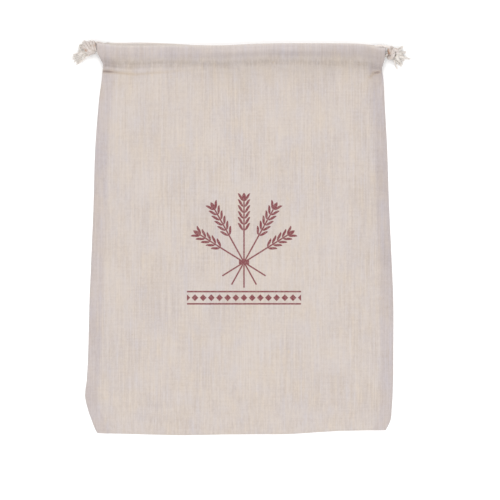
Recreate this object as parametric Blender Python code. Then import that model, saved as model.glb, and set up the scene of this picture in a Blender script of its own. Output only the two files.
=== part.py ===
"""Drawstring bread bag of thin cotton cloth, lying empty on its back with its mouth towards +Y.

The cloth is one cut piece, folded across the bottom, sewn up both sides with its edges turned in, and hemmed
round the mouth into two casings. Two twisted cotton cords each run through both casings and are knotted at
opposite corners of the mouth. Blender units are metres. The tables and sizes below are in millimetres.
The origin is on the underside, under the middle of the bag.
"""

import math
from collections import namedtuple

import bmesh
import bpy
from mathutils import Vector

MM = 0.001

# Cloth and cord
CLOTH = 1.0
CORD = 3.2
CORD_ROOM = CORD + 0.6

# Casing: a hem folded inwards, sewn down along one line
CASING_DEPTH = 20.5
HEM_TAIL = 1.8
CASING_SLOPE = 7.3
FOLD_REACH = 3.0
OUTER_FOLD_DROP = 2.0
INNER_FOLD_DROP = 1.2
CASING_HEIGHT = 2 * CLOTH + CORD_ROOM
MOUTH_GAP_MIDDLE = 4.6
MOUTH_GAP_END = 0.4
MOUTH_REACH = 50.0
END_OPENING = 9.5
FOLD_OPENING = 16.0
FOLD_START = 12.0
FOLD_WALL = 1.2
STITCH_MARGIN = 1.3

# Body of the bag
SEAM_HEIGHT = 2.4
LOFT = 11.45
LOFT_REACH = 55.0
SHOULDER = 34.0
SEAM_WALL = 2.2
EDGE_REACH = 2.0
EDGE_DROP = 0.8
SEAM_ALLOWANCE = 13.0
ALLOWANCE_RISE = 0.8
ALLOWANCE_EASE = 2.0
STITCH_EASE = 3.0

# Faces that meet at less than the flat angle are merged, and at less than the other are shaded as one
FLAT_ANGLE = 0.0004
SMOOTH_ANGLE = math.radians(40)

Side = namedtuple("Side", "y left right")
SIDES = (
    Side(201.0, -145.2, 147.6),
    Side(196.9, -146.0, 148.0),
    Side(190.0, -144.9, 147.8),
    Side(182.6, -141.8, 146.9),
    Side(176.5, -139.0, 145.2),
    Side(172.4, -139.7, 144.4),
    Side(162.2, -140.8, 146.0),
    Side(141.8, -143.7, 147.3),
    Side(90.8, -147.6, 150.0),
    Side(39.8, -149.1, 151.7),
    Side(-11.2, -151.1, 154.0),
    Side(-62.2, -153.3, 156.2),
    Side(-113.2, -154.6, 156.2),
    Side(-143.8, -156.1, 156.0),
    Side(-159.1, -158.0, 155.5),
    Side(-174.4, -154.8, 154.5),
    Side(-184.6, -151.2, 153.4),
    Side(-194.8, -147.1, 148.3),
    Side(-201.0, -143.0, 143.0),
)

Ends = namedtuple("Ends", "x front back bottom")
ENDS = (
    Ends(-146.0, 196.4, 198.8, -197.6),
    Ends(-138.0, 196.6, 200.1, -198.0),
    Ends(-118.0, 196.7, 199.9, -198.5),
    Ends(-104.0, 196.6, 200.2, -198.9),
    Ends(-86.0, 196.7, 199.8, -199.4),
    Ends(-66.0, 196.7, 198.9, -199.9),
    Ends(-45.0, 196.6, 197.7, -199.8),
    Ends(-15.0, 196.8, 197.5, -199.2),
    Ends(15.0, 198.3, 198.9, -199.0),
    Ends(50.0, 198.9, 199.5, -198.7),
    Ends(97.0, 198.8, 199.5, -195.8),
    Ends(118.0, 198.4, 199.2, -195.3),
    Ends(131.0, 197.3, 198.2, -195.0),
    Ends(139.0, 195.2, 197.2, -194.9),
    Ends(148.0, 194.4, 196.6, -194.8),
)

# A fold lying across the cloth: a trough along its line with a roll of cloth above it
Fold = namedtuple("Fold", "x y depth")
LEFT_FOLD = (
    Fold(-150.0, 171.2, 2.4),
    Fold(-138.0, 170.9, 2.3),
    Fold(-128.0, 170.2, 2.0),
    Fold(-107.0, 167.9, 1.4),
    Fold(-86.0, 169.3, 0.8),
    Fold(-62.0, 171.5, 0.0),
)
RIGHT_FOLD = (
    Fold(127.0, 159.5, 0.0),
    Fold(130.5, 162.6, 0.5),
    Fold(134.2, 167.4, 1.1),
    Fold(138.7, 169.7, 1.3),
    Fold(150.0, 170.4, 1.4),
)
ROLL_ABOVE = 3.2
ROLL_WIDTH = 3.4
TROUGH_WIDTH = 1.5
TROUGH_SHARE = 0.3

# Soft swells where the loose front layer stands a little higher
Swell = namedtuple("Swell", "x y across along height")
SWELLS = (
    Swell(-88.0, 96.0, 34.0, 62.0, 0.9),
    Swell(70.0, 120.0, 44.0, 40.0, 0.7),
    Swell(104.0, 10.0, 26.0, 80.0, 0.8),
    Swell(-104.0, -60.0, 24.0, 76.0, 0.7),
    Swell(14.0, -118.0, 70.0, 22.0, 0.8),
    Swell(96.0, -128.0, 24.0, 40.0, 0.6),
    Swell(-20.0, 150.0, 60.0, 12.0, 0.6),
)

# Grid lines across the bag, as offsets from the nearer side and shares of the width between
EDGE_OFFSETS = (0.0, 0.9, SEAM_WALL, 5.5, END_OPENING, 12.5, FOLD_OPENING, 22.0)
MIDDLE_COLUMNS = 15

# Grid lines along the bag, below the front's top fold, then over the body, then above the bottom fold
CASING_ROWS = (0.0, 0.6, FOLD_WALL, 2.4, 4.5, 8.0, 13.2, 15.2, 17.2)
STITCH_ROWS = (CASING_DEPTH - STITCH_MARGIN, CASING_DEPTH)
SHOULDER_ROWS = (22.3, 23.6, 25.6, 27.6, 29.8, 33.0, 38.0, 45.0, 55.0)
FRONT_ROWS = CASING_ROWS + STITCH_ROWS + SHOULDER_ROWS
BODY_ROWS = 14
BOTTOM_ROWS = (46.0, 33.0, 22.0, 13.0, 6.0, SEAM_WALL, 0.9, 0.0)

# Cord routes: points on each cord's middle line, from one end at its knot round to the other
Point = namedtuple("Point", "x y z")
LEFT_CORD = (
    Point(-147.4, 199.2, 7.4),
    Point(-144.2, 199.8, 6.3),
    Point(-140.6, 198.9, 4.6),
    Point(-137.2, 197.0, 3.3),
    Point(-133.6, 194.6, 2.9),
    Point(-130.0, 193.4, 2.9),
    Point(-124.0, 193.3, 2.9),
    Point(-104.0, 193.3, 2.9),
    Point(-66.0, 193.4, 2.9),
    Point(-15.0, 193.5, 2.9),
    Point(15.0, 195.0, 2.9),
    Point(50.0, 195.6, 2.9),
    Point(97.0, 195.5, 2.9),
    Point(118.0, 195.1, 2.9),
    Point(129.0, 194.0, 2.9),
    Point(137.0, 193.8, 2.9),
    Point(139.8, 193.2, 3.4),
    Point(141.8, 191.7, 4.7),
    Point(142.5, 189.6, 6.3),
    Point(141.8, 187.5, 7.9),
    Point(139.8, 186.0, 9.1),
    Point(137.0, 185.4, 9.6),
    Point(131.0, 185.9, 10.2),
    Point(124.0, 186.9, 11.0),
    Point(118.0, 187.2, 11.7),
    Point(110.0, 187.5, 12.55),
    Point(100.0, 187.6, 13.1),
    Point(80.0, 187.7, 13.3),
    Point(50.0, 187.7, 13.3),
    Point(15.0, 187.1, 13.3),
    Point(-15.0, 185.6, 13.3),
    Point(-45.0, 185.4, 13.3),
    Point(-86.0, 185.5, 13.3),
    Point(-98.0, 185.4, 13.1),
    Point(-108.0, 185.4, 12.3),
    Point(-118.0, 185.5, 11.2),
    Point(-126.0, 185.5, 10.3),
    Point(-136.0, 185.5, 9.5),
    Point(-140.5, 186.5, 9.1),
    Point(-143.4, 188.7, 8.8),
    Point(-145.0, 191.4, 8.4),
    Point(-146.15, 193.0, 8.0),
)
RIGHT_CORD = (
    Point(151.1, 188.5, 6.8),
    Point(148.9, 187.3, 5.4),
    Point(146.2, 185.8, 3.6),
    Point(142.0, 184.9, 2.9),
    Point(136.5, 185.0, 2.9),
    Point(124.0, 186.9, 2.9),
    Point(110.0, 187.5, 2.9),
    Point(80.0, 187.7, 2.9),
    Point(50.0, 187.7, 2.9),
    Point(15.0, 187.1, 2.9),
    Point(-15.0, 185.6, 2.9),
    Point(-45.0, 185.4, 2.9),
    Point(-118.0, 185.5, 2.9),
    Point(-128.0, 184.8, 2.9),
    Point(-134.0, 184.5, 2.9),
    Point(-136.8, 185.1, 3.4),
    Point(-138.9, 186.7, 4.6),
    Point(-139.6, 188.9, 6.2),
    Point(-138.9, 191.1, 7.9),
    Point(-136.8, 192.7, 9.1),
    Point(-134.0, 193.3, 9.6),
    Point(-126.0, 193.4, 10.5),
    Point(-118.0, 193.4, 11.5),
    Point(-108.0, 193.3, 12.55),
    Point(-98.0, 193.3, 13.1),
    Point(-86.0, 193.4, 13.3),
    Point(-66.0, 193.4, 13.3),
    Point(-15.0, 193.5, 13.3),
    Point(15.0, 195.0, 13.3),
    Point(50.0, 195.6, 13.3),
    Point(80.0, 195.6, 13.3),
    Point(100.0, 195.5, 13.1),
    Point(110.0, 195.4, 12.55),
    Point(118.0, 195.1, 11.7),
    Point(124.0, 194.7, 11.0),
    Point(131.0, 193.8, 10.15),
    Point(134.4, 194.4, 9.7),
    Point(137.6, 195.5, 9.3),
    Point(141.0, 196.2, 9.0),
    Point(144.6, 196.1, 8.6),
    Point(148.4, 195.6, 8.2),
    Point(152.2, 194.9, 7.8),
)
CORD_STEP = 10.0

# Knots: wound heads lying on the floor, each ending in a frayed tuft
KNOT_RADIUS = 7.3
KNOT_LIFT = 7.5
KNOT_WRAPS = 4
WRAP_DEPTH = 0.085
KNOT_RINGS = 28
KNOT_SIDES = 18
Waist = namedtuple("Waist", "share width")
LEFT_WAISTS = (Waist(0.0, 0.52), Waist(0.14, 0.84), Waist(0.4, 1.0), Waist(0.7, 0.96), Waist(1.0, 0.7))
RIGHT_WAISTS = (Waist(0.0, 0.74), Waist(0.16, 0.9), Waist(0.45, 1.0), Waist(0.75, 0.93), Waist(1.0, 0.72))
LEFT_HEAD = (Point(-148.2, 195.6, KNOT_LIFT), Point(-154.6, 193.4, KNOT_LIFT), Point(-160.4, 188.6, KNOT_LIFT))
RIGHT_HEAD = (Point(153.1, 191.7, KNOT_LIFT), Point(157.6, 190.2, KNOT_LIFT), Point(161.8, 187.2, KNOT_LIFT))

# Frayed locks, in layers that lie on one another: root height, resting height and length
Layer = namedtuple("Layer", "root rest length count")
LAYERS = (
    Layer(3.8, 0.45, 11.5, 7),
    Layer(6.3, 1.75, 10.0, 6),
    Layer(8.8, 3.05, 8.0, 5),
)
LOCK_RADIUS = 0.46
LOCK_SIDES = 4
LOCK_SUNK = 1.6
LOCK_BENDS = 5
LOCK_TAPER = 0.35
LOCK_UNEVEN = 0.13
LOCK_PHASE = 2.3
LAYER_PHASE = 1.7
DROP_START = 0.12
DROP_SHARE = 0.6
ROOT_WIDTH = 8.4
Fan = namedtuple("Fan", "half_width turned reach")
LEFT_FAN = Fan(math.radians(4), math.radians(-6), 0.93)
RIGHT_FAN = Fan(math.radians(52), math.radians(15), 0.9)

COTTON = (0.69, 0.62, 0.57, 1.0)
CORD_COTTON = (0.76, 0.71, 0.64, 1.0)


def clamp(value):
    return max(0.0, min(1.0, value))


def smooth(share):
    share = clamp(share)
    return share * share * (3 - 2 * share)


def rise(distance, reach):
    """From 0 at an edge to 1 at its reach, steepest at the edge."""
    return 1 - (1 - clamp(distance / reach)) ** 2


def mix(a, b, share):
    return a + (b - a) * share


def read(rows, key, column, at):
    """The column's value on a smooth curve through the rows of a table, which are in the key's order."""
    keys = [getattr(row, key) for row in rows]
    values = [getattr(row, column) for row in rows]
    if keys[0] > keys[-1]:
        keys.reverse()
        values.reverse()
    at = max(keys[0], min(keys[-1], at))
    last = len(keys) - 1
    i = next(n for n in range(last) if at <= keys[n + 1])

    def slope(n):
        before, after = max(n - 1, 0), min(n + 1, last)
        return (values[after] - values[before]) / (keys[after] - keys[before])

    span = keys[i + 1] - keys[i]
    t = (at - keys[i]) / span
    start = (1 + 2 * t) * (1 - t) ** 2 * values[i] + t * (1 - t) ** 2 * span * slope(i)
    end = t * t * (3 - 2 * t) * values[i + 1] - t * t * (1 - t) * span * slope(i + 1)
    return start + end


def left_edge(y):
    return read(SIDES, "y", "left", y)


def right_edge(y):
    return read(SIDES, "y", "right", y)


def front_top(x):
    return read(ENDS, "x", "front", x)


def back_top(x):
    return read(ENDS, "x", "back", x)


def bottom(x):
    return read(ENDS, "x", "bottom", x)


def from_side(x, y):
    return max(0.0, min(x - left_edge(y), right_edge(y) - x))


def below_fold(x, y):
    return max(0.0, front_top(x) - y)


def front_hem_level(x, y):
    """Height of the front casing's inner face: the mouth stands open in the middle and closes at the ends."""
    share = smooth(from_side(x, y) / MOUTH_REACH)
    return CASING_HEIGHT + mix(MOUTH_GAP_END, MOUTH_GAP_MIDDLE, share)


def fold_relief(rows, x, y):
    """What a fold adds to the front layer's height."""
    if not rows[0].x <= x <= rows[-1].x:
        return 0.0
    above = y - read(rows, "x", "y", x)
    roll = math.exp(-(((above - ROLL_ABOVE) / ROLL_WIDTH) ** 2))
    trough = TROUGH_SHARE * math.exp(-((above / TROUGH_WIDTH) ** 2))
    return max(0.0, read(rows, "x", "depth", x)) * (roll - trough)


def swell_relief(x, y):
    total = 0.0
    for s in SWELLS:
        total += s.height * math.exp(-(((x - s.x) / s.across) ** 2) - ((y - s.y) / s.along) ** 2)
    return total


def body_level(x, y):
    """Outer height of the front layer over the body: two flat layers at the seams, lofted between."""
    share = rise(from_side(x, y), LOFT_REACH) * rise(y - bottom(x), LOFT_REACH)
    return mix(SEAM_HEIGHT, LOFT, share) + share * swell_relief(x, y)


def edge_drop(x, y):
    """How far the outer face turns down beside the side seams and the bottom fold."""
    near = min(from_side(x, y), max(0.0, y - bottom(x)))
    return EDGE_DROP * (1 - rise(near, EDGE_REACH))


def fold_share(x, y):
    """The top folds are pressed round along the mouth and fall open towards the casings' ends."""
    return smooth((from_side(x, y) - END_OPENING) / FOLD_START)


def casing_puff(x, y):
    """Share of the cord's room that stands open, from 0 on the stitch line to 1 round the cords."""
    return smooth((CASING_DEPTH - below_fold(x, y)) / CASING_SLOPE)


def front_face(x, y):
    """Outer height of the front layer, without the turned-in seam allowance."""
    down = below_fold(x, y)
    sewn = front_hem_level(x, y) + 2 * CLOTH
    if down < CASING_DEPTH:
        top = sewn + CORD_ROOM * casing_puff(x, y)
        return top - OUTER_FOLD_DROP * fold_share(x, y) * (1 - rise(down, FOLD_REACH))
    share = smooth((down - CASING_DEPTH) / SHOULDER)
    relief = fold_relief(LEFT_FOLD, x, y) + fold_relief(RIGHT_FOLD, x, y)
    return mix(sewn, body_level(x, y), share) + relief * smooth((down - CASING_DEPTH) / STITCH_EASE)


def allowance(x, y):
    """How far the front layer is raised over the seam allowance that is turned in along each side."""
    inside = from_side(x, y)
    inner = smooth((SEAM_ALLOWANCE - inside) / ALLOWANCE_EASE)
    below = smooth((below_fold(x, y) - CASING_DEPTH) / STITCH_EASE)
    return ALLOWANCE_RISE * smooth(inside / ALLOWANCE_EASE) * inner * below


def heights(x, y):
    """The faces of the cloth's layers at a place, from the underside up. Between each two is one slot."""
    down = below_fold(x, y)
    fold = fold_share(x, y) * (1 - rise(down, FOLD_REACH))
    back_fold = fold_share(x, y) * (1 - rise(max(0.0, back_top(x) - y), FOLD_REACH))
    tail = 1 - smooth(down - CASING_DEPTH - HEM_TAIL)
    back_hem = CLOTH * (1 + tail) + CORD_ROOM * casing_puff(x, y) - INNER_FOLD_DROP * back_fold
    outer = front_face(x, y)
    front_hem = outer - CLOTH * (1 + tail)
    if down < CASING_DEPTH:
        front_hem = front_hem_level(x, y) + INNER_FOLD_DROP * fold
    faces = [0.0, CLOTH, back_hem - CLOTH, back_hem, front_hem, front_hem + CLOTH, outer - CLOTH]
    return faces + [outer + allowance(x, y) - edge_drop(x, y)]


# Slots between the faces of heights() that hold cloth, in each kind of place
SEAM = (0, 1, 2, 3, 4, 5, 6)
TWO_LAYERS = (0, 1, 2, 4, 5, 6)
TWO_CASINGS = (0, 2, 4, 6)
OPEN_ENDS = (0, 6)
BACK_EDGE = (0, 1, 2)
BACK_EDGE_END = (0,)


def cloth_slots(x, y):
    inside = min(x - left_edge(y), right_edge(y) - x)
    down = front_top(x) - y
    if down > CASING_DEPTH and min(inside, y - bottom(x)) < SEAM_WALL:
        return SEAM
    if down > CASING_DEPTH - STITCH_MARGIN:
        return TWO_LAYERS
    if inside < END_OPENING or (inside < FOLD_OPENING and down < FOLD_WALL):
        return BACK_EDGE_END if down < 0 else OPEN_ENDS
    if down < 0:
        return BACK_EDGE
    return TWO_LAYERS if down < FOLD_WALL else TWO_CASINGS


def row_y(row, x):
    """A grid line's y at x. Each row is the edge it is measured from and an offset into the cloth."""
    edge, offset = row
    if edge == "back":
        return back_top(x) - offset
    if edge == "front":
        return front_top(x) - offset
    if edge == "bottom":
        return bottom(x) + offset
    return mix(front_top(x) - FRONT_ROWS[-1], bottom(x) + BOTTOM_ROWS[0], offset)


def column_x(column, y):
    """A grid line's x at y. Each column is the side it is measured from and an offset into the cloth."""
    edge, offset = column
    if edge == "left":
        return left_edge(y) + offset
    if edge == "right":
        return right_edge(y) - offset
    inset = EDGE_OFFSETS[-1]
    return mix(left_edge(y) + inset, right_edge(y) - inset, offset)


def place(column, row):
    y = 0.0
    for _ in range(3):
        y = row_y(row, column_x(column, y))
    return column_x(column, y), y


def grid_lines():
    columns = [("left", offset) for offset in EDGE_OFFSETS]
    columns += [("middle", n / MIDDLE_COLUMNS) for n in range(1, MIDDLE_COLUMNS)]
    columns += [("right", offset) for offset in reversed(EDGE_OFFSETS)]
    rows = [("bottom", offset) for offset in reversed(BOTTOM_ROWS)]
    rows += [("body", n / BODY_ROWS) for n in range(BODY_ROWS - 1, 0, -1)]
    rows += [("front", offset) for offset in reversed(FRONT_ROWS)]
    return columns, rows + [("back", 0.0)]


def layered_cloth():
    """One closed mesh of the bag: cells of a grid whose slots are cloth or air, with faces between the two."""
    columns, rows = grid_lines()
    spots = [[place(column, row) for row in rows] for column in columns]
    faces = [[heights(*spot) for spot in line] for line in spots]
    across, along = len(columns) - 1, len(rows) - 1
    bm = bmesh.new()
    made = {}

    def corner(c, r, level):
        if (c, r, level) not in made:
            x, y = spots[c][r]
            made[c, r, level] = bm.verts.new(Vector((x, y, faces[c][r][level])) * MM)
        return made[c, r, level]

    def filled(c, r):
        if not (0 <= c < across and 0 <= r < along):
            return ()
        corners = [spots[c][r], spots[c + 1][r], spots[c][r + 1], spots[c + 1][r + 1]]
        return cloth_slots(sum(x for x, y in corners) / 4, sum(y for x, y in corners) / 4)

    def levels_used(c, r, low, high):
        """The levels between two that a face of any cell round this corner ends at."""
        cells = [filled(c - 1, r - 1), filled(c, r - 1), filled(c - 1, r), filled(c, r)]
        return [
            level
            for level in range(low, high + 1)
            if any((level in cloth) != (level - 1 in cloth) for cloth in cells)
        ]

    def upright(near, far, low, high):
        """The face down a cell's side between two levels, where its neighbour has no cloth."""
        ring = [corner(*far, level) for level in levels_used(*far, low, high)]
        ring += [corner(*near, level) for level in reversed(levels_used(*near, low, high))]
        bm.faces.new(ring)

    for c in range(across):
        for r in range(along):
            cloth = filled(c, r)
            ring = [(c, r), (c + 1, r), (c + 1, r + 1), (c, r + 1)]
            for slot in cloth:
                if slot + 1 not in cloth:
                    bm.faces.new([corner(*at, slot + 1) for at in ring])
                if slot - 1 not in cloth:
                    bm.faces.new([corner(*at, slot) for at in reversed(ring)])
            sides = (
                (filled(c, r - 1), ring[0], ring[1]),
                (filled(c + 1, r), ring[1], ring[2]),
                (filled(c, r + 1), ring[2], ring[3]),
                (filled(c - 1, r), ring[3], ring[0]),
            )
            for beyond, near, far in sides:
                bare = [slot in cloth and slot not in beyond for slot in range(len(SEAM) + 1)]
                for slot in range(len(SEAM)):
                    if bare[slot] and not (slot and bare[slot - 1]):
                        upright(near, far, slot, bare.index(False, slot))
    bm.normal_update()
    bmesh.ops.dissolve_limit(bm, angle_limit=FLAT_ANGLE, verts=bm.verts, edges=bm.edges)
    bmesh.ops.triangulate(bm, faces=bm.faces)
    return bm


def mesh_object(name, bm, finish):
    mesh = bpy.data.meshes.new(name)
    bm.to_mesh(mesh)
    bm.free()
    mesh.shade_smooth()
    mesh.set_sharp_from_angle(angle=SMOOTH_ANGLE)
    mesh.materials.append(finish)
    ob = bpy.data.objects.new(name, mesh)
    bpy.context.scene.collection.objects.link(ob)
    return ob


def material(name, colour, roughness):
    mat = bpy.data.materials.new(name)
    mat.use_nodes = True
    shader = mat.node_tree.nodes["Principled BSDF"]
    shader.inputs["Base Color"].default_value = colour
    shader.inputs["Roughness"].default_value = roughness
    shader.inputs["Metallic"].default_value = 0.0
    return mat


def vector(point):
    return Vector(point) * MM


def through(points, step):
    """Points about a step apart, in millimetres, on one smooth curve through a route's own points."""
    spots = [Vector(point) for point in points]
    last = len(spots) - 1
    lengths = [(spots[n + 1] - spots[n]).length for n in range(last)]

    def tangent(n):
        if n == 0:
            return (spots[1] - spots[0]) / lengths[0]
        if n == last:
            return (spots[last] - spots[last - 1]) / lengths[last - 1]
        before, after = lengths[n - 1], lengths[n]
        slope_in = (spots[n] - spots[n - 1]) / before
        slope_out = (spots[n + 1] - spots[n]) / after
        return (slope_in * after + slope_out * before) / (before + after)

    curve = []
    for n in range(last):
        pieces = max(1, round(lengths[n] / step))
        for k in range(pieces):
            t = k / pieces
            near = spots[n] * (1 + 2 * t) * (1 - t) ** 2 + tangent(n) * lengths[n] * t * (1 - t) ** 2
            far = spots[n + 1] * t * t * (3 - 2 * t) - tangent(n + 1) * lengths[n] * t * t * (1 - t)
            curve.append((near + far) * MM)
    return curve + [spots[last] * MM]


def make_cord(name, route, finish):
    curve = bpy.data.curves.new(name, "CURVE")
    curve.dimensions = "3D"
    curve.bevel_depth = CORD / 2 * MM
    curve.bevel_resolution = 2
    curve.use_fill_caps = True
    points = through(route, CORD_STEP)
    spline = curve.splines.new("POLY")
    spline.points.add(len(points) - 1)
    for spot, point in zip(points, spline.points):
        point.co = (*spot, 1.0)
    curve.materials.append(finish)
    ob = bpy.data.objects.new(name, curve)
    bpy.context.scene.collection.objects.link(ob)


def bent(head, share):
    """A place on the bend through a head's three points, and its direction there."""
    start, middle, end = (vector(point) for point in head)
    control = middle * 2 - (start + end) / 2
    spot = start * (1 - share) ** 2 + control * 2 * share * (1 - share) + end * share**2
    heading = (control - start) * (1 - share) + (end - control) * share
    return spot, heading.normalized()


def tube(bm, rings):
    """Joins rings of vertices end to end and closes both ends."""
    for near, far in zip(rings, rings[1:]):
        for n, corner in enumerate(near):
            other = (n + 1) % len(near)
            bm.faces.new((corner, near[other], far[other], far[n]))
    bm.faces.new(list(reversed(rings[0])))
    bm.faces.new(rings[-1])


def ring_of(bm, spot, heading, radii):
    """A ring of vertices square to a level or sloping heading, one for each radius."""
    aside = Vector((0, 0, 1)).cross(heading).normalized()
    above = heading.cross(aside)
    ring = []
    for n, radius in enumerate(radii):
        turn = math.tau * n / len(radii)
        ring.append(bm.verts.new(spot + (aside * math.cos(turn) + above * math.sin(turn)) * radius))
    return ring


def knot_head(head, waists):
    """The wound part of a knot: a bent barrel with a ridge for each turn of the cord."""
    bm = bmesh.new()
    rings = []
    for n in range(KNOT_RINGS + 1):
        share = n / KNOT_RINGS
        spot, heading = bent(head, share)
        width = KNOT_RADIUS * MM * read(waists, "share", "width", share)
        radii = []
        for k in range(KNOT_SIDES):
            ridge = math.cos(math.tau * (KNOT_WRAPS * share + k / KNOT_SIDES))
            radii.append(width * (1 - WRAP_DEPTH * (1 - ridge) / 2))
        rings.append(ring_of(bm, spot, heading, radii))
    tube(bm, rings)
    return bm


def knot_locks(head, fan):
    """The frayed locks beyond a knot, fanned out in layers and coming to rest on the floor."""
    bm = bmesh.new()
    base, heading = bent(head, 1.0)
    aside = Vector((0, 0, 1)).cross(heading).normalized()
    for level, layer in enumerate(LAYERS):
        for n in range(layer.count):
            across = 2 * n / (layer.count - 1) - 1
            root = base + aside * across * ROOT_WIDTH / 2 * MM - heading * LOCK_SUNK * MM
            angle = fan.turned + across * fan.half_width
            way = heading * math.cos(angle) + aside * math.sin(angle)
            uneven = 1 + LOCK_UNEVEN * math.sin(LOCK_PHASE * n + LAYER_PHASE * level)
            length = layer.length * fan.reach * uneven
            path = []
            for k in range(LOCK_BENDS + 1):
                t = k / LOCK_BENDS
                out = heading * (1 - t) + way * t
                spot = root + out.normalized() * length * t * MM
                spot.z = mix(layer.root, layer.rest, smooth((t - DROP_START) / DROP_SHARE)) * MM
                path.append(spot)
            rings = []
            for k, spot in enumerate(path):
                along = (path[min(k + 1, LOCK_BENDS)] - path[max(k - 1, 0)]).normalized()
                radius = LOCK_RADIUS * MM * (1 - LOCK_TAPER * k / LOCK_BENDS)
                rings.append(ring_of(bm, spot, along, [radius] * LOCK_SIDES))
            tube(bm, rings)
    return bm


def make_knot(name, head, waists, fan, finish):
    knot = mesh_object(name, knot_head(head, waists), finish)
    locks = mesh_object(name + "_locks", knot_locks(head, fan), finish)
    locks.hide_render = True
    locks.display_type = "WIRE"
    join = knot.modifiers.new("locks", "BOOLEAN")
    join.operation = "UNION"
    join.solver = "EXACT"
    join.object = locks


for old in list(bpy.data.objects):
    bpy.data.objects.remove(old, do_unlink=True)
mesh_object("bag_cloth", layered_cloth(), material("cotton_cloth", COTTON, 0.95))
rope = material("cotton_cord", CORD_COTTON, 0.9)
make_cord("drawcord_left", LEFT_CORD, rope)
make_cord("drawcord_right", RIGHT_CORD, rope)
make_knot("knot_left", LEFT_HEAD, LEFT_WAISTS, LEFT_FAN, rope)
make_knot("knot_right", RIGHT_HEAD, RIGHT_WAISTS, RIGHT_FAN, rope)
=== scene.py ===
"""The looks of a drawstring bread bag that lies empty on its back, seen from straight above.

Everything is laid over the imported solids, in their frame: +Y runs to the mouth and +Z up from the floor.
The tables and sizes below are in millimetres, and every mesh is turned into metres as it is made.
"""

import math
from collections import namedtuple

import bpy
import numpy as np
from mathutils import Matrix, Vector


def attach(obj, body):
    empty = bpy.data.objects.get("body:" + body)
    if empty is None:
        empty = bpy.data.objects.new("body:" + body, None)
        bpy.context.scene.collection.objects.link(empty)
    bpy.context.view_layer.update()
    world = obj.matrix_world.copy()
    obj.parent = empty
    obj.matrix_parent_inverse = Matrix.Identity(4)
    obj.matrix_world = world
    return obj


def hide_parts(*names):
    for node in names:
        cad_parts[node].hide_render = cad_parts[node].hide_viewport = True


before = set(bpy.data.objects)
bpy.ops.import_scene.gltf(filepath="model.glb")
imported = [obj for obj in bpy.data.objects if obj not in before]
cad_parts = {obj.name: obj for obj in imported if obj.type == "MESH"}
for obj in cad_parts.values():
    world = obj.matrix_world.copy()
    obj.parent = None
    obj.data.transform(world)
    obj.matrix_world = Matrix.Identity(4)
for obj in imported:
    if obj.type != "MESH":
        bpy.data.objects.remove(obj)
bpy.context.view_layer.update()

MM = 0.001

# Camera, straight above a point of the floor, and the width of floor that it sees. Its clip is in metres.
VIEW_CENTRE = (10.2, -11.2)
VIEW_WIDTH = 510.0
CAMERA_HEIGHT = 3000.0
CAMERA_SENSOR = 36.0
CAMERA_CLIP = (0.05, 100.0)

# Cloth and casings, as in the solids, whose cloth is thicker
SOLID_CLOTH = 1.0
CLOTH = 0.55
CORD = 3.2
CORD_ROOM = 3.8
CASING_DEPTH = 20.5
HEM_TAIL = 1.8
CASING_SLOPE = 7.3
CASING_HEIGHT = 2 * SOLID_CLOTH + CORD_ROOM
CASING_SINK = 0.4
MOUTH_GAP_MIDDLE = 4.6
MOUTH_GAP_END = 0.4
MOUTH_REACH = 50.0
FOLD_REACH = 3.0
END_OPENING = 9.5
FOLD_OPENING = 16.0
SEAM_HEIGHT = 2.4
LOFT = 11.45
LOFT_REACH = 55.0
SHOULDER = 34.0
EDGE_REACH = 2.0
EDGE_DROP = 0.8
SEAM_ALLOWANCE = 13.0
ALLOWANCE_RISE = 0.8
ALLOWANCE_EASE = 2.0
STITCH_EASE = 3.0

Side = namedtuple("Side", "y left right")
SIDES = (
    Side(201.0, -145.2, 147.6),
    Side(196.9, -146.0, 148.0),
    Side(190.0, -144.9, 147.8),
    Side(182.6, -141.8, 146.9),
    Side(176.5, -139.0, 145.2),
    Side(172.4, -139.7, 144.4),
    Side(162.2, -140.8, 146.0),
    Side(141.8, -143.7, 147.3),
    Side(90.8, -147.6, 150.0),
    Side(39.8, -149.1, 151.7),
    Side(-11.2, -151.1, 154.0),
    Side(-62.2, -153.3, 156.2),
    Side(-113.2, -154.6, 156.2),
    Side(-143.8, -156.1, 156.0),
    Side(-159.1, -158.0, 155.5),
    Side(-174.4, -154.8, 154.5),
    Side(-184.6, -151.2, 153.4),
    Side(-194.8, -147.1, 148.3),
    Side(-201.0, -143.0, 143.0),
)

Ends = namedtuple("Ends", "x front back bottom")
ENDS = (
    Ends(-146.0, 199.2, 198.8, -197.6),
    Ends(-138.0, 198.6, 200.1, -198.0),
    Ends(-128.0, 197.3, 200.0, -198.25),
    Ends(-118.0, 196.8, 199.9, -198.5),
    Ends(-104.0, 196.6, 200.2, -198.9),
    Ends(-86.0, 196.7, 199.8, -199.4),
    Ends(-66.0, 196.7, 198.9, -199.9),
    Ends(-45.0, 196.6, 197.7, -199.8),
    Ends(-15.0, 196.8, 197.5, -199.2),
    Ends(15.0, 198.3, 198.9, -199.0),
    Ends(50.0, 198.9, 199.5, -198.7),
    Ends(97.0, 198.8, 199.5, -195.8),
    Ends(118.0, 198.4, 199.2, -195.3),
    Ends(131.0, 197.3, 198.2, -195.0),
    Ends(139.0, 195.2, 197.2, -194.9),
    Ends(148.0, 194.4, 196.6, -194.8),
)

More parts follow.
